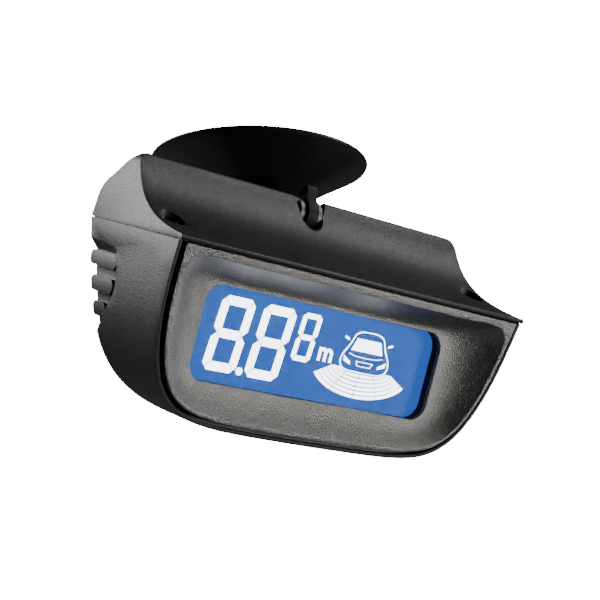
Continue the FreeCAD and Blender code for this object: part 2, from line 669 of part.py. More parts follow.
def board_screws():
    screws = []
    for x, z in BOARD_SCREWS:
        screw = slotted_screw(1.6, 1.0, 0.8, BOARD_THICK + 5.4)
        screw.rotate(V(0, 0, 0), V(1, 0, 0), -90)
        screw.translate(V(x, BOARD_REAR, z))
        screws.append(screw)
    return Part.makeCompound(screws)


def case_screws():
    screws = []
    for side in (-1, 1):
        screw = slotted_screw(2.5, 1.3, 0.95, 9.0)
        screw.translate(V(side * SCREW_X, SCREW_Y, WELL_FLOOR_Z))
        screws.append(screw)
    return Part.makeCompound(screws)


# ---- hinge, arm and cup ----
def hinge_pin():
    return rod(PIN_R, PIN - V(6.9, 0, 0), PIN + V(6.9, 0, 0))


def hinge_washers():
    half = ARM_THICK / 2
    rings = []
    for side in (-1, 1):
        start = PIN + V(side * (half + RUN), 0, 0)
        end = PIN + V(side * (SLOT_X - 0.02), 0, 0)
        rings.append(rod(3.4, start, end).cut(rod(PIN_R + 0.01, start - V(9, 0, 0), start + V(9, 0, 0))))
    return Part.makeCompound(rings)


def mount_arm():
    half = ARM_THICK / 2
    eye_top = NECK_DEPTH + EYE_GAP
    eye_mid = on_cup_axis(eye_top + EYE_THICK / 2)
    knuckle = rod(KNUCKLE_R, PIN - V(half, 0, 0), PIN + V(half, 0, 0))
    across = V(0, math.sin(math.radians(CUP_TILT)), math.cos(math.radians(CUP_TILT)))
    ends = [PIN + across * 2.2, eye_mid + across * EYE_THICK / 2, eye_mid - across * EYE_THICK / 2,
            PIN - across * 2.6]
    blade = extrude_x(polygon(ends), half)
    tab = side_plate([(17.4, 32.5), (18.2, 36.4), (18.8, 37.2), (19.7, 37.2), (20.4, 36.4), (22.6, 32.0)],
                     half)
    eye = rod(EYE_R, on_cup_axis(eye_top), on_cup_axis(eye_top + EYE_THICK))
    eye_end = eye_top + EYE_THICK
    blade = blade.cut(rod(NECK_R + 0.4, on_cup_axis(5), on_cup_axis(eye_top)))
    blade = blade.cut(rod(NECK_R, on_cup_axis(eye_end), on_cup_axis(30)))
    arm = knuckle.fuse(blade).fuse(tab).fuse(eye)
    arm = arm.cut(rod(PIN_R + RUN, PIN - V(9, 0, 0), PIN + V(9, 0, 0)))
    arm = arm.cut(rod(STUD_R + RUN, on_cup_axis(10), on_cup_axis(30)))
    return arm.removeSplitter()


def suction_cup():
    """Cup, neck, stud and plug head, turned about the cup's axis; depth is measured from the seal."""
    stud_end = NECK_DEPTH + EYE_THICK + 2 * EYE_GAP
    outside = [(CUP_R, 0.0), (CUP_R, 0.5), (NECK_R, NECK_DEPTH - 0.6), (NECK_R, NECK_DEPTH),
               (STUD_R, NECK_DEPTH), (STUD_R, stud_end), (4.2, stud_end), (4.2, stud_end + 1.0),
               (2.4, stud_end + 3.2),
               (0.0, stud_end + 3.2)]
    lip = (CUP_R - 0.7, 0.0)
    points = [V(r, 0, -d) for r, d in outside + [(0.0, 9.6)]]
    lines = [Part.makeLine(a, b) for a, b in zip(points, points[1:])]
    hollow = Part.Arc(points[-1], V(13.5, 0, -6.4), V(lip[0], 0, lip[1])).toShape()
    close = Part.makeLine(V(lip[0], 0, lip[1]), points[0])
    cup = Part.Face(Part.Wire(lines + [hollow, close])).revolve(V(0, 0, 0), V(0, 0, 1), 360)
    cup.rotate(V(0, 0, 0), V(1, 0, 0), -CUP_TILT)
    cup.translate(CUP_CENTRE)
    return cup


NODES = [top_shell, main_housing, bezel, display_gasket, display_cover, lcd_panel, lcd_segments,
         lcd_icons, display_frame, backlight_guide, backlight_leds, lcd_pins, main_board, controller_chip,
         voltage_regulator, buzzer, capacitors, resistors, cable_socket, board_screws, case_screws,
         hinge_pin, hinge_washers, mount_arm, suction_cup]

os.makedirs("parts", exist_ok=True)
for build in NODES:
    shape = build()
    shape.translate(-CUP_CENTRE)
    print("%-18s valid %s solids %d volume %9.1f" % (build.__name__, shape.isValid(), len(shape.Solids),
                                                     shape.Volume))
    shape.exportStep("parts/%s.step" % build.__name__)
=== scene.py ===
# %% [markdown]
# # A parking display on a suction cup
#
# The real object is a small dashboard display for a parking sensor. A black plastic case holds a
# backlit blue panel behind a dished bezel, and a short arm in the case's ridge hangs it from a rubber
# suction cup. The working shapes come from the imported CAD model, which stays as it is. What follows gives
# every piece its finish, rebuilds the soft rubber and the moulded shells with softened edges, and sets
# the light.

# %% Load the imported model
import json
import math

import bpy
from mathutils import Matrix, Vector

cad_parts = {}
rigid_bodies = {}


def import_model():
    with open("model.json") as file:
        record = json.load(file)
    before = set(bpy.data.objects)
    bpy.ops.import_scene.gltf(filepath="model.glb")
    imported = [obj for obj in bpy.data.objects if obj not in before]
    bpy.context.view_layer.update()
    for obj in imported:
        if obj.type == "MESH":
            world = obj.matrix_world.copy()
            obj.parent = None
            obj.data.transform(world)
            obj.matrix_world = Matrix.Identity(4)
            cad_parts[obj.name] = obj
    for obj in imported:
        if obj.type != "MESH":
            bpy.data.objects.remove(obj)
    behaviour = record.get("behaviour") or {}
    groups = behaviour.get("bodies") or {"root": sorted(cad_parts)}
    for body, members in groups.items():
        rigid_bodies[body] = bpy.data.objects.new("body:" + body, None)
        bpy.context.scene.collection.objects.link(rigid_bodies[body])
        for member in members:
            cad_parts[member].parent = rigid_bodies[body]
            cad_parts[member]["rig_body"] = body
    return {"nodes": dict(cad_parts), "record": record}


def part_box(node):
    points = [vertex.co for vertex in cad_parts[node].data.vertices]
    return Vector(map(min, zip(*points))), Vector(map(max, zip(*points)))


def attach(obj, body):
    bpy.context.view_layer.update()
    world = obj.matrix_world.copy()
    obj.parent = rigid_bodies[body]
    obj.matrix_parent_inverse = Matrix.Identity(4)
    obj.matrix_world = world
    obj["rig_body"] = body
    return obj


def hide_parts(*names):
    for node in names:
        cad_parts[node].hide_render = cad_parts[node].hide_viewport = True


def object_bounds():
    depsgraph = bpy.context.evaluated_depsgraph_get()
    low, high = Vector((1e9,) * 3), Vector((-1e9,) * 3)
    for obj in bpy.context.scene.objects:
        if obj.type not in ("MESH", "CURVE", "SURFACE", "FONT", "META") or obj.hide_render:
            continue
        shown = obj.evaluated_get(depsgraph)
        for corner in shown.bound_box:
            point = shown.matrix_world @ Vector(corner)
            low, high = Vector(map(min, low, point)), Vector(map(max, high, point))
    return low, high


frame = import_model()
cad_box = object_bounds()
nodes = frame["nodes"]
MM = 0.001
print("packed nodes:", len(nodes))

# %% [markdown]
# Operators act on whatever is selected, and loading leaves every node selected. The two helpers below
# start each job with a clean selection, and move a finished piece's place into its mesh so that its
# object sits at the origin, as the CAD nodes do.

# %% Selection helpers
def only(obj=None):
    """Selects one object, or nothing."""
    if bpy.context.object and bpy.context.object.mode != "OBJECT":
        bpy.ops.object.mode_set(mode="OBJECT")
    bpy.ops.object.select_all(action="DESELECT")
    if obj:
        obj.select_set(True)
        bpy.context.view_layer.objects.active = obj


def settle(obj, name):
    """Names a finished piece and moves its place into its mesh."""
    only(obj)
    bpy.ops.object.transform_apply(location=True, rotation=True, scale=True)
    obj.name = name
    obj.data.name = name
    return obj


only()
print("selected after clearing:", len(bpy.context.selected_objects))

# %% [markdown]
# ## Shader groups
#
# Moulded plastic gets its look from the tool it was moulded in: spark erosion leaves a fine pebbled grain.
# The same grain is used on the case, the bezel and the arm, only coarser or finer, so it is a node group
# with a size input. Noise gives the random heights and a cell pattern gives the little round pebbles. The
# second output marks the highest spots, where a painted highlight is laid into the colour.

# %% Group: moulded grain
def new_group(name, inputs, outputs):
    """A shader node group: inputs are (name, default) pairs and outputs are names, all of them floats."""
    group = bpy.data.node_groups.new(name, "ShaderNodeTree")
    for label, default in inputs:
        socket = group.interface.new_socket(label, in_out="INPUT", socket_type="NodeSocketFloat")
        socket.default_value = default
    for label in outputs:
        group.interface.new_socket(label, in_out="OUTPUT", socket_type="NodeSocketFloat")
    entry = group.nodes.new("NodeGroupInput")
    leave = group.nodes.new("NodeGroupOutput")
    return group, entry, leave


def math_node(tree, operation, first, second):
    """A Math node; first and second are sockets or numbers."""
    node = tree.nodes.new("ShaderNodeMath")
    node.operation = operation
    for socket, value in zip(node.inputs, (first, second)):
        if isinstance(value, (int, float)):
            socket.default_value = value
        else:
            tree.links.new(value, socket)
    return node.outputs[0]


def noise(tree, place, scale, detail, rough=0.5):
    """Noise from 0 to 1 at the coordinates in place; scale is a number or a socket."""
    node = tree.nodes.new("ShaderNodeTexNoise")
    node.inputs["Detail"].default_value = detail
    node.inputs["Roughness"].default_value = rough
    tree.links.new(place, node.inputs["Vector"])
    if isinstance(scale, (int, float)):
        node.inputs["Scale"].default_value = scale
    else:
        tree.links.new(scale, node.inputs["Scale"])
    return node.outputs["Fac"]


PEBBLE_SOFTNESS = 0.6   # 0 gives sharp cells, 1 the softest
PEBBLE_HEIGHT = 0.7     # against the random height
PEAK_LEVEL = 0.52       # random height above which a pebble gets a painted highlight
PEAK_SHARPNESS = 6.0

grain, entry, leave = new_group("moulded grain", [("Pebbles per metre", 3000.0)], ["Height", "Painted highlight"])
place = grain.nodes.new("ShaderNodeTexCoord").outputs["Object"]
rough_height = noise(grain, place, entry.outputs[0], detail=3.0, rough=0.6)
pebbles = grain.nodes.new("ShaderNodeTexVoronoi")
pebbles.feature = "SMOOTH_F1"
pebbles.inputs["Smoothness"].default_value = PEBBLE_SOFTNESS
grain.links.new(place, pebbles.inputs["Vector"])
grain.links.new(entry.outputs[0], pebbles.inputs["Scale"])
domes = math_node(grain, "MULTIPLY", pebbles.outputs["Distance"], -PEBBLE_HEIGHT)
height = math_node(grain, "ADD", rough_height, domes)
grain.links.new(height, leave.inputs["Height"])
# Painted highlight: this mask marks the highest pebbles so that their colour can be made lighter.
painted_highlight_peaks = math_node(grain, "SUBTRACT", rough_height, PEAK_LEVEL)
grain.links.new(math_node(grain, "MULTIPLY", painted_highlight_peaks, PEAK_SHARPNESS), leave.inputs["Painted highlight"])
print("group:", grain.name)

# %% [markdown]
# No moulding is the same all over. Large soft clouds in the colour and the gloss come from the way the
# plastic flowed and from handling, and a few fine rubbed marks come from use.

# %% Group: handling
RUB_STRETCH = (90.0, 90.0, 2600.0)   # noise per metre along each axis: thin in one, long in two
RUB_TURN = (0.35, 0.6, 0.0)
RUB_LEVEL = 0.69                     # higher leaves fewer marks

handling, entry, leave = new_group("handling", [("Clouds per metre", 40.0)], ["Cloud", "Rub"])
place = handling.nodes.new("ShaderNodeTexCoord").outputs["Object"]
cloud = noise(handling, place, entry.outputs[0], detail=4.0, rough=0.55)
handling.links.new(cloud, leave.inputs["Cloud"])
stretch = handling.nodes.new("ShaderNodeMapping")
stretch.inputs["Scale"].default_value = RUB_STRETCH
stretch.inputs["Rotation"].default_value = RUB_TURN
handling.links.new(place, stretch.inputs["Vector"])
streak = noise(handling, stretch.outputs["Vector"], 1.0, detail=2.0)
handling.links.new(math_node(handling, "GREATER_THAN", streak, RUB_LEVEL), leave.inputs["Rub"])
print("group:", handling.name)

# %% [markdown]
# Dust settles on faces that look up. The mask is the upward share of the surface's own direction, broken
# up by noise, so it stays where it is when the object is seen from another side.

# %% Group: settled dust
SPECKS_PER_METRE = 900.0

dust, entry, leave = new_group("settled dust", [("Amount", 0.3)], ["Dust"])
facing = dust.nodes.new("ShaderNodeSeparateXYZ")
dust.links.new(dust.nodes.new("ShaderNodeNewGeometry").outputs["Normal"], facing.inputs[0])
upward = math_node(dust, "MAXIMUM", facing.outputs["Z"], 0.0)
place = dust.nodes.new("ShaderNodeTexCoord").outputs["Object"]
specks = noise(dust, place, SPECKS_PER_METRE, detail=6.0, rough=0.7)
patchy = math_node(dust, "MULTIPLY", math_node(dust, "POWER", upward, 2.0), specks)
dust.links.new(math_node(dust, "MULTIPLY", patchy, entry.outputs[0]), leave.inputs["Dust"])
print("group:", dust.name)

# %% [markdown]
# ## Finishes
#
# Each finish is one material. It starts from Blender's Principled shader, whose sockets take either a
# plain value or a pattern. Small helpers do the wiring that every finish repeats: start a material, place a
# group, mix two colours, map a mask onto a range, and turn a height into a bump.

# %% Material helpers
def start(name):
    """A new material, with its node tree and its shader."""
    material = bpy.data.materials.new(name)
    material.use_nodes = True
    return material, material.node_tree, material.node_tree.nodes["Principled BSDF"]


def use(tree, group, values=()):
    """Places a group with (input, value) pairs and returns its outputs."""
    node = tree.nodes.new("ShaderNodeGroup")
    node.node_tree = group
    for label, value in values:
        node.inputs[label].default_value = value
    return node.outputs


def blend(tree, share, low, high):
    """A colour mix; low and high are colours or sockets, share is a socket."""
    mix = tree.nodes.new("ShaderNodeMix")
    mix.data_type = "RGBA"
    tree.links.new(share, mix.inputs["Factor"])
    for socket, value in ((mix.inputs["A"], low), (mix.inputs["B"], high)):
        if isinstance(value, tuple):
            socket.default_value = (*value, 1.0)
        else:
            tree.links.new(value, socket)
    return mix.outputs["Result"]


def spread(tree, share, low, high):
    """Maps a mask from 0 to 1 onto low to high."""
    node = tree.nodes.new("ShaderNodeMapRange")
    node.inputs["To Min"].default_value = low
    node.inputs["To Max"].default_value = high
    tree.links.new(share, node.inputs["Value"])
    return node.outputs["Result"]


def bump(tree, shader, height, depth, strength=1.0):
    """Makes a height of 0 to 1 look that deep, in metres."""
    node = tree.nodes.new("ShaderNodeBump")
    node.inputs["Distance"].default_value = depth
    node.inputs["Strength"].default_value = strength
    tree.links.new(height, node.inputs["Height"])
    tree.links.new(node.outputs["Normal"], shader.inputs["Normal"])


print("helpers: start, use, blend, spread, bump")

# %% [markdown]
# Nearly all the plastics and metals share a build: two close tones mixed by the clouds, a little dust,
# gloss that wanders with the clouds and is smoother along the rubs, and the grain as a bump. So one
# function builds them, and each finish passes its own tones, gloss and grain.

# %% Build of a moulded finish
DUST_TONE = (0.32, 0.31, 0.29)
# The pale colour of the painted highlight on the highest pebbles.
PAINTED_HIGHLIGHT_TONE = (0.75, 0.74, 0.70)
RUB_GLOSS = 0.05


def moulded(name, dark, light, gloss, pebble, depth, painted_highlight_amount=0.0, dusty=0.15, metal=0.0, shine=0.5):
    """A moulded finish: two tones, a painted highlight on the highest pebbles, roughness from gloss[0] to
    gloss[1], pebble size and depth in metres.
    """
    material, tree, shader = start(name)
    marks = use(tree, handling)
    texture = use(tree, grain, [("Pebbles per metre", 1 / pebble)])
    tone = blend(tree, marks["Cloud"], dark, light)
    # Painted highlight: the highest pebbles are lightened towards a pale colour.
    if painted_highlight_amount:
        painted_highlight_mask = math_node(tree, "MULTIPLY", math_node(tree, "MAXIMUM", texture["Painted highlight"], 0.0), painted_highlight_amount)
        tone = blend(tree, painted_highlight_mask, tone, PAINTED_HIGHLIGHT_TONE)
    tone = blend(tree, use(tree, dust, [("Amount", dusty)])["Dust"], tone, DUST_TONE)
    tree.links.new(tone, shader.inputs["Base Color"])
    rough = spread(tree, marks["Cloud"], *gloss)
    rough = math_node(tree, "SUBTRACT", rough, math_node(tree, "MULTIPLY", marks["Rub"], RUB_GLOSS))
    tree.links.new(rough, shader.inputs["Roughness"])
    shader.inputs["Metallic"].default_value = metal
    shader.inputs["Specular IOR Level"].default_value = shine
    bump(tree, shader, texture["Height"], depth)
    return material


def grey(level):
    """A neutral colour."""
    return (level, level, level)


FINE = {"pebble": 0.30 * MM, "depth": 0.01 * MM}
print("finish builder:", moulded.__name__)

# %% [markdown]
# The case is black plastic with a spark-eroded grain. The bezel has a coarser grain and looks like graphite
# rather than black, so it is mostly metallic here. The arm is the dullest and darkest plastic, and the
# hinge and the case are held together by steel.

# %% Outside finishes
# The case and the bezel carry a small painted highlight on their highest pebbles.
finishes = {
    "casing_plastic": moulded("casing plastic", (0.004, 0.004, 0.0045), (0.007, 0.007, 0.0075), (0.40, 0.50),
                              0.30 * MM, 0.05 * MM, painted_highlight_amount=0.02, dusty=0.02, shine=0.12),
    "bezel_plastic": moulded("bezel plastic", (0.060, 0.058, 0.055), (0.105, 0.102, 0.096), (0.31, 0.37),
                             0.36 * MM, 0.18 * MM, painted_highlight_amount=0.05, dusty=0.01, metal=0.8),
    "arm_plastic": moulded("arm plastic", grey(0.002), grey(0.004), (0.55, 0.65),
                           0.24 * MM, 0.03 * MM, dusty=0.0, shine=0.08),
    "washer_plastic": moulded("washer acetal", grey(0.004), grey(0.008), (0.50, 0.60), **FINE),
    "pin_steel": moulded("plain steel", grey(0.46), (0.54, 0.54, 0.53), (0.24, 0.40),
                         0.16 * MM, 0.01 * MM, metal=1.0),
    "screw_steel": moulded("blackened steel", grey(0.05), grey(0.08), (0.30, 0.42),
                           0.16 * MM, 0.01 * MM, metal=1.0),
}
print("outside finishes:", len(finishes))

# %% [markdown]
# The pieces inside are hidden once the case is closed, but each still has a real material: foam, white
# plastic, epoxy, nylon, tinned wire and drawn aluminium. The same builder makes them.

# %% Inside finishes
inner_finishes = {
    "black_gasket": moulded("gasket foam", grey(0.004), grey(0.008), (0.85, 0.95), 0.20 * MM, 0.03 * MM),
    "frame_plastic": moulded("frame plastic", (0.74, 0.74, 0.72), (0.80, 0.80, 0.78), (0.45, 0.55),
                             0.30 * MM, 0.02 * MM),
    "chip_black": moulded("chip epoxy", (0.016, 0.016, 0.018), (0.024, 0.024, 0.026), (0.50, 0.62),
                          0.12 * MM, 0.01 * MM),
    "buzzer_black": moulded("buzzer case", grey(0.012), grey(0.018), (0.40, 0.55), 0.20 * MM, 0.01 * MM),
    "socket_cream": moulded("socket nylon", (0.70, 0.64, 0.50), (0.78, 0.73, 0.61), (0.38, 0.50), **FINE),
    "tinned_pin": moulded("tinned wire", (0.66, 0.66, 0.63), (0.74, 0.74, 0.71), (0.22, 0.36),
                          0.20 * MM, 0.01 * MM, metal=1.0),
    "can_aluminium": moulded("aluminium can", (0.70, 0.71, 0.73), (0.78, 0.79, 0.81), (0.24, 0.34),
                             metal=1.0, **FINE),
}
finishes.update(inner_finishes)
print("inside finishes:", len(inner_finishes))

# %% [markdown]
# Rubber for a suction cup is moulded in a polished tool, so it is smooth and satin, with a bloom that
# turns its far edges grey. A soft sheen gives that bloom, and a shallow slow wave keeps it from looking
# like paint.

# %% Rubber
material, tree, shader = start("cup rubber")
marks = use(tree, handling, [("Clouds per metre", 55.0)])
tree.links.new(blend(tree, marks["Cloud"], grey(0.003), grey(0.006)), shader.inputs["Base Color"])
tree.links.new(spread(tree, marks["Cloud"], 0.30, 0.42), shader.inputs["Roughness"])
shader.inputs["Specular IOR Level"].default_value = 0.12
shader.inputs["Sheen Weight"].default_value = 0.03
shader.inputs["Sheen Roughness"].default_value = 0.35
bump(tree, shader, marks["Cloud"], 0.4 * MM, 0.5)
finishes["cup_rubber"] = material
print("finish:", material.name)

# %% [markdown]
# The display is lit from behind. Its blue comes from the light that gets through the panel, so it is set
# as emission. The light is never quite even, so it drifts slowly over the panel, with a very fine mottle
# from the diffuser. The lit segments and the lamps behind the panel glow in the same way.

# %% The lit display
MOTTLE_PER_METRE = 5200.0
MOTTLE_SHARE = 0.35
UNLIT_SHARE = 0.3


def lit(name, low, high, strength, gloss):
    """A backlit finish: its emission drifts from low to high over the surface."""
    material, tree, shader = start(name)
    marks = use(tree, handling, [("Clouds per metre", 22.0)])
    place = tree.nodes.new("ShaderNodeTexCoord").outputs["Object"]
    mottle = noise(tree, place, MOTTLE_PER_METRE, detail=1.0)
    share = math_node(tree, "ADD", math_node(tree, "MULTIPLY", mottle, MOTTLE_SHARE),
                      math_node(tree, "MULTIPLY", marks["Cloud"], 1.0 - MOTTLE_SHARE))
    tree.links.new(blend(tree, share, low, high), shader.inputs["Emission Color"])
    shader.inputs["Emission Strength"].default_value = strength
    shader.inputs["Base Color"].default_value = (*[UNLIT_SHARE * c for c in low], 1.0)
    tree.links.new(spread(tree, marks["Cloud"], *gloss), shader.inputs["Roughness"])
    shader.inputs["Specular IOR Level"].default_value = 0.1
    return material


lit_finishes = {
    "display_blue": lit("lit blue panel", (0.022, 0.105, 0.48), (0.030, 0.125, 0.54), 1.0, (0.40, 0.50)),
    "segment_white": lit("lit white segment", (0.88, 0.92, 1.0), (0.98, 0.99, 1.0), 4.2, (0.40, 0.50)),
    "lamp_white": lit("lamp", (0.90, 0.78, 0.30), (0.98, 0.90, 0.45), 1.0, (0.25, 0.32)),
}
finishes.update(lit_finishes)
print("lit finishes:", len(lit_finishes))

# %% [markdown]
# The cover over the panel is a thin clear sheet and the light guide is frosted acrylic. Both let light
# through; the guide's roughness scatters it. The sheet is so thin that it hardly bends the light, and a
# strong reflection would hide the digits, so its index is set far below that of acrylic.

# %% Clear sheet and light guide
THIN_SHEET_INDEX = 1.06
ACRYLIC_INDEX = 1.49


def clear(name, tint, gloss, index):
    """A clear finish: it passes light, tinted between tint and white."""
    material, tree, shader = start(name)
    marks = use(tree, handling, [("Clouds per metre", 30.0)])
    shader.inputs["Transmission Weight"].default_value = 1.0
    shader.inputs["IOR"].default_value = index
    tree.links.new(blend(tree, marks["Cloud"], tint, (1.0, 1.0, 1.0)), shader.inputs["Base Color"])
    tree.links.new(spread(tree, marks["Cloud"], *gloss), shader.inputs["Roughness"])
    return material


finishes["clear_cover"] = clear("clear sheet", (0.97, 0.98, 1.0), (0.0, 0.02), THIN_SHEET_INDEX)
finishes["light_guide"] = clear("frosted guide", (0.90, 0.94, 0.98), (0.30, 0.40), ACRYLIC_INDEX)
print("clear finishes: clear_cover, light_guide")

# %% [markdown]
# The circuit board is green lacquer over copper. The copper's tracks show as a slightly lighter, raised
# pattern. A cell pattern measured along the axes makes square outlines, as tracks have.

# %% Board lacquer
TRACKS_PER_METRE = 420.0
TRACK_EDGE = 0.42

material, tree, shader = start("board lacquer")
place = tree.nodes.new("ShaderNodeTexCoord").outputs["Object"]
tracks = tree.nodes.new("ShaderNodeTexVoronoi")
tracks.distance = "CHEBYCHEV"
tracks.inputs["Scale"].default_value = TRACKS_PER_METRE
tree.links.new(place, tracks.inputs["Vector"])
edge = math_node(tree, "GREATER_THAN", tracks.outputs["Distance"], TRACK_EDGE)
tree.links.new(blend(tree, edge, (0.010, 0.110, 0.040), (0.030, 0.210, 0.080)), shader.inputs["Base Color"])
tree.links.new(spread(tree, edge, 0.28, 0.36), shader.inputs["Roughness"])
bump(tree, shader, edge, 0.04 * MM, 0.6)
finishes["board_green"] = material
print("finishes:", len(finishes))

# %% [markdown]
# Every CAD node takes the finish that the record names for it.

# %% Dress the nodes
slot_of = {part["node"]: part["material_slot"] for part in frame["record"]["subparts"]}


def dress(obj, slot):
    """Gives an object the finish of a slot."""
    obj.data.materials.clear()
    obj.data.materials.append(finishes[slot])


for name, node in nodes.items():
    dress(node, slot_of[name])
print("dressed:", len(nodes))

# %% [markdown]
# ## The moulded shells
#
# A moulded case has no knife-sharp edges: the tool leaves every corner with a small radius, and that radius
# is what catches the light along the rim, the parting line and the screw wells. The CAD shells have sharp
# edges. Rounding them in CAD would be slow, and a bevel does it here: a copy of each shell has its doubled
# points merged, gets a narrow bevel on edges that turn by more than 35 degrees, and stands for its node.

# %% Soft edges
EDGE_WIDTHS = {"top_shell": 0.35 * MM, "main_housing": 0.30 * MM, "bezel": 0.30 * MM, "mount_arm": 0.20 * MM}
EDGE_SEGMENTS = 3
EDGE_ANGLE = math.radians(35)
SMOOTH_ANGLE = math.radians(28)
DOUBLE_GAP = 0.002 * MM

body_of = {name: node["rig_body"] for name, node in nodes.items()}


def soften(name, width):
    """A copy of a CAD node with rounded edges of that width in metres, shown in its place."""
    piece = bpy.data.objects.new("soft_" + name, nodes[name].data.copy())
    bpy.context.scene.collection.objects.link(piece)
    only(piece)
    bpy.ops.object.mode_set(mode="EDIT")
    bpy.ops.mesh.select_all(action="SELECT")
    bpy.ops.mesh.remove_doubles(threshold=DOUBLE_GAP)
    bpy.ops.mesh.normals_make_consistent(inside=False)
    bpy.ops.mesh.customdata_custom_splitnormals_clear()
    bpy.ops.object.mode_set(mode="OBJECT")
    rounder = piece.modifiers.new("edge radius", "BEVEL")
    rounder.width = width
    rounder.segments = EDGE_SEGMENTS
    rounder.limit_method = "ANGLE"
    rounder.angle_limit = EDGE_ANGLE
    rounder.use_clamp_overlap = True
    bpy.ops.object.modifier_apply(modifier=rounder.name)
    bpy.ops.object.shade_smooth_by_angle(angle=SMOOTH_ANGLE)
    settle(piece, "soft_" + name)
    dress(piece, slot_of[name])
    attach(piece, body_of[name])
    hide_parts(name)
    print(piece.name, len(piece.data.polygons), "faces")


for name, width in EDGE_WIDTHS.items():
    soften(name, width)

# %% [markdown]
# ## Screw wells
#
# Each case screw sits at the bottom of a well in the top shell. A thin polished sleeve lines the well, so
# that its wall can catch the light. It starts as a cylinder without ends. A bisect cuts its brim to the
# slope of the trough, and solidify gives it a wall. The places come from the screws' own node, so the
# sleeves follow the CAD model.

# %% Well sleeves
SLEEVE_RADIUS = 3.1 * MM
SLEEVE_WALL = 0.12 * MM
SLEEVE_RISE = 2.2 * MM        # from the top of the screw to the brim
SLEEVE_SINK = 1.0 * MM        # from the top of the screw to the lower end
TUBE_LENGTH = 8.0 * MM        # before the brim is cut
TUBE_SIDES = 64
TROUGH_UP = Vector((0.0, -0.24, 1.0)).normalized()
WELL_SMOOTH_ANGLE = math.radians(40)

polished = moulded("polished well", grey(0.006), grey(0.010), (0.10, 0.14), 1.0 * MM, 0.002 * MM, dusty=0.0)
screw_low, screw_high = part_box("case_screws")
well_y = (screw_low.y + screw_high.y) / 2
head_r = (screw_high.y - screw_low.y) / 2


def well_sleeve(side, well_x):
    """Lines the well at well_x."""
    only()
    tube_z = screw_high.z - SLEEVE_SINK + TUBE_LENGTH / 2
    bpy.ops.mesh.primitive_cylinder_add(vertices=TUBE_SIDES, radius=SLEEVE_RADIUS, depth=TUBE_LENGTH,
                                        end_fill_type="NOTHING", location=(well_x, well_y, tube_z))
    sleeve = settle(bpy.context.object, "well_sleeve_" + side)
    bpy.ops.object.mode_set(mode="EDIT")
    bpy.ops.mesh.select_all(action="SELECT")
    brim = Vector((well_x, well_y, screw_high.z + SLEEVE_RISE))
    bpy.ops.mesh.bisect(plane_co=brim, plane_no=TROUGH_UP, clear_outer=True)
    bpy.ops.object.mode_set(mode="OBJECT")
    wall = sleeve.modifiers.new("wall", "SOLIDIFY")
    wall.thickness = SLEEVE_WALL
    wall.offset = -1.0
    bpy.ops.object.modifier_apply(modifier=wall.name)
    bpy.ops.object.shade_smooth_by_angle(angle=WELL_SMOOTH_ANGLE)
    dress(sleeve, "casing_plastic")
    sleeve.data.materials[0] = polished
    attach(sleeve, body_of["top_shell"])
    print(sleeve.name, len(sleeve.data.polygons), "faces")


well_sleeve("left", screw_low.x + head_r)
well_sleeve("right", screw_high.x - head_r)

# %% [markdown]
# ## The suction cup
#
# The cup, its neck and its stud are one piece of soft rubber, round about one axis. In a lathe-like shape
# every ring is the ring before it, moved along the axis and scaled, so the piece starts as a circle at the
# rim and is extruded ring by ring: down the outside to the stud, and from the rim into the hollow. The rim
# rolls over softly and the neck has a fillet, as rubber leaves its mould. It is modelled upright and then
# tilted to lie against the pane.

# %% Lathe helper
def lathe(rings):
    """Carries the selected circle through (radius, depth) rings and closes the last one to a point."""
    for (last_radius, last_depth), (radius, depth) in zip(rings, rings[1:]):
        drop = (0.0, 0.0, last_depth - depth)
        bpy.ops.mesh.extrude_region_move(TRANSFORM_OT_translate={"value": drop})
        growth = radius / last_radius
        bpy.ops.transform.resize(value=(growth, growth, 1.0), center_override=(0.0, 0.0, 0.0))
    bpy.ops.mesh.merge(type="CENTER")


print("helper:", lathe.__name__)

# %% [markdown]
# The outline is written as radii and depths, with the depth counted from the sealing face. The skirt is
# a straight cone that sags by a quarter of a millimetre, and the hollow is a quarter of a sine wave, which
# is flat at the middle and steep at the rim.

# %% Outline of the cup
RIM, NECK, STUD, HEAD = 26.5 * MM, 4.8 * MM, 3.0 * MM, 4.2 * MM
NECK_END, STUD_END, HEAD_END = 14.5 * MM, 18.1 * MM, 21.3 * MM
HOLLOW = 9.6 * MM
SKIRT_WIDE, SKIRT_NARROW = RIM - 0.15 * MM, NECK + 0.65 * MM
SKIRT_START, SKIRT_LENGTH, SKIRT_SAG = 0.65 * MM, NECK_END - 1.9 * MM, 0.25 * MM
SKIRT_STEPS = 12
HOLLOW_STEPS = 13
LIP_RING = (RIM - 0.35 * MM, 0.0)
SEAL_RING = (RIM - 0.8 * MM, 0.12 * MM)

rim_roll = [LIP_RING, (RIM - 0.1 * MM, 0.1 * MM), (RIM, 0.3 * MM)]
skirt = []
for step in range(SKIRT_STEPS + 1):
    along = step / SKIRT_STEPS
    radius = SKIRT_WIDE + (SKIRT_NARROW - SKIRT_WIDE) * along
    depth = SKIRT_START + SKIRT_LENGTH * along - SKIRT_SAG * math.sin(math.pi * along)
    skirt.append((radius, depth))
fillet = [(NECK + 0.25 * MM, NECK_END - 0.75 * MM), (NECK, NECK_END - 0.35 * MM),
          (NECK - 0.1 * MM, NECK_END - 0.1 * MM), (NECK - 0.35 * MM, NECK_END)]
stud = [(STUD + 0.2 * MM, NECK_END), (STUD, NECK_END + 0.15 * MM), (STUD, STUD_END - 0.1 * MM),
        (STUD + 0.1 * MM, STUD_END)]
head = [(HEAD - 0.2 * MM, STUD_END), (HEAD, STUD_END + 0.2 * MM), (HEAD, STUD_END + 0.9 * MM),
        (HEAD - 0.2 * MM, STUD_END + 1.25 * MM), (2.7 * MM, HEAD_END - 0.25 * MM), (2.3 * MM, HEAD_END),
        (0.8 * MM, HEAD_END)]
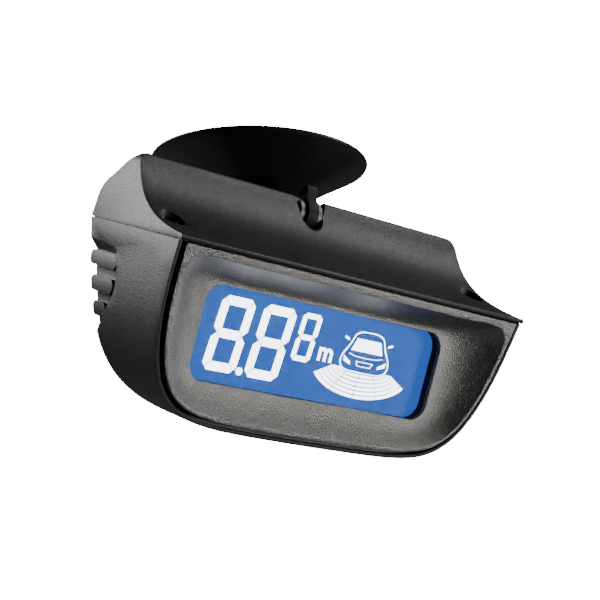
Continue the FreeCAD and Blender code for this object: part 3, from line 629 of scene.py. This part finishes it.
outside = rim_roll + skirt + fillet + stud + head

hollow = [LIP_RING, SEAL_RING]
for step in range(1, HOLLOW_STEPS):
    share = step / HOLLOW_STEPS
    radius = SEAL_RING[0] * (1 - share)
    depth = SEAL_RING[1] + (HOLLOW - SEAL_RING[1]) * math.sin(share * math.pi / 2)
    hollow.append((radius, depth))
print("rings outside:", len(outside), "inside:", len(hollow))

# %% [markdown]
# The circle is the rim's lip. The outside is drawn from it first. Then the lip is the only ring still at
# the sealing face, so it is picked again by its height, and the hollow is drawn from it.

# %% Suction cup
CUP_TILT = math.radians(20.3)
CUP_SIDES = 144
CUP_SMOOTH_ANGLE = math.radians(50)
FACE_TOLERANCE = 0.0001 * MM

only()
bpy.ops.mesh.primitive_circle_add(vertices=CUP_SIDES, radius=LIP_RING[0], location=(0.0, 0.0, 0.0))
cup = bpy.context.object
bpy.ops.object.mode_set(mode="EDIT")
bpy.ops.mesh.select_all(action="SELECT")
lathe(outside)
bpy.ops.mesh.select_all(action="DESELECT")
bpy.ops.object.mode_set(mode="OBJECT")
for vertex in cup.data.vertices:
    vertex.select = abs(vertex.co.z) < FACE_TOLERANCE
bpy.ops.object.mode_set(mode="EDIT")
lathe(hollow)
bpy.ops.mesh.select_all(action="SELECT")
bpy.ops.mesh.normals_make_consistent(inside=False)
bpy.ops.object.mode_set(mode="OBJECT")
cup.rotation_euler = (-CUP_TILT, 0.0, 0.0)
settle(cup, "rubber_cup")
bpy.ops.object.shade_smooth_by_angle(angle=CUP_SMOOTH_ANGLE)
dress(cup, "cup_rubber")
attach(cup, "cup")
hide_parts("suction_cup")
print(cup.name, len(cup.data.polygons), "faces")

# %% [markdown]
# ## Camera
#
# A long lens from the left of the display, almost level with it. The camera is turned about its own axis
# too, so the display hangs at a slant, as on a sloping windscreen. Three turns set it: about the vertical,
# then up or down, then about the line of sight.

# %% Camera
LENS = 96.0
CAMERA_PLACE = Vector((-0.2334, -0.3171, -0.0204))
HEADING = math.radians(38.967)    # clockwise from +Y, seen from above
PITCH = math.radians(-1.427)
ROLL = math.radians(14.263)

eye_data = bpy.data.cameras.new("camera")
eye_data.lens = LENS
eye_data.clip_start = 10 * MM
eye = bpy.data.objects.new("camera", eye_data)
bpy.context.scene.collection.objects.link(eye)
aim = Matrix.Rotation(-HEADING, 4, "Z") @ Matrix.Rotation(math.pi / 2 + PITCH, 4, "X")
eye.matrix_world = Matrix.Translation(CAMERA_PLACE) @ aim @ Matrix.Rotation(ROLL, 4, "Z")
bpy.context.scene.camera = eye
print("camera at", [round(c, 4) for c in eye.matrix_world.translation])

# %% [markdown]
# ## Light and floor
#
# Black plastic shows almost nothing but reflections, so each light is placed for the surface that mirrors
# it. One soft box stands far back on the left, and the flat side of the case picks up a grazing gradient.
# One hangs high on the right and lights the lower slope of the bezel. The strongest one is in front on the
# right and draws the top edge of the bezel.

# %% Lights
MIDDLE = Vector((0.0, -0.04, -0.03))


def soft_box(name, place, size, power):
    """A rectangular lamp of size (width, height) in metres, turned to the middle of the display."""
    data = bpy.data.lights.new(name, "AREA")
    data.shape = "RECTANGLE"
    data.size, data.size_y = size
    data.energy = power
    lamp = bpy.data.objects.new(name, data)
    bpy.context.scene.collection.objects.link(lamp)
    lamp.location = place
    lamp.rotation_euler = (MIDDLE - Vector(place)).to_track_quat("-Z", "Y").to_euler()


soft_box("side box", (-0.28, 0.41, 0.07), (0.18, 0.24), 5.4)
soft_box("slope box", (0.50, -0.22, 0.64), (0.30, 0.22), 7.0)
soft_box("front box", (0.60, -0.74, 0.03), (0.30, 0.16), 12.0)

# %% [markdown]
# A white room around black plastic would wash it out with haze. So the surroundings and the floor are pure
# white only for the rays that come straight from the camera. For all other rays the room is dim and the
# floor is grey. The floor lies well below the display, because the display hangs from a windscreen.

# %% Surroundings and floor
CAMERA_WHITE = 20.0
ROOM_LIGHT = 0.05
FLOOR_DROP = 0.40
FLOOR_SIZE = 8.0
WHITE = (1.0, 1.0, 1.0, 1.0)
FLOOR_GREY = (0.30, 0.30, 0.30, 1.0)


def camera_white(tree, strength, elsewhere):
    """Feeds a strength socket: CAMERA_WHITE as the camera sees it, elsewhere for all other rays."""
    seen = tree.nodes.new("ShaderNodeLightPath").outputs["Is Camera Ray"]
    tree.links.new(spread(tree, seen, elsewhere, CAMERA_WHITE), strength)


world = bpy.data.worlds.new("studio")
bpy.context.scene.world = world
world.use_nodes = True
background = world.node_tree.nodes["Background"]
background.inputs["Color"].default_value = WHITE
camera_white(world.node_tree, background.inputs["Strength"], ROOM_LIGHT)

only()
floor_z = cad_box[0][2] - FLOOR_DROP
bpy.ops.mesh.primitive_plane_add(size=FLOOR_SIZE, location=(0.0, 0.0, floor_z))
floor = settle(bpy.context.object, "floor")
material, tree, shader = start("white floor")
shader.inputs["Base Color"].default_value = FLOOR_GREY
shader.inputs["Roughness"].default_value = 0.9
shader.inputs["Emission Color"].default_value = WHITE
camera_white(tree, shader.inputs["Emission Strength"], 0.0)
floor.data.materials.append(material)
print("floor at", round(floor_z, 4))

# %% [markdown]
# ## Finish
#

# %% The last line
print("end of script")
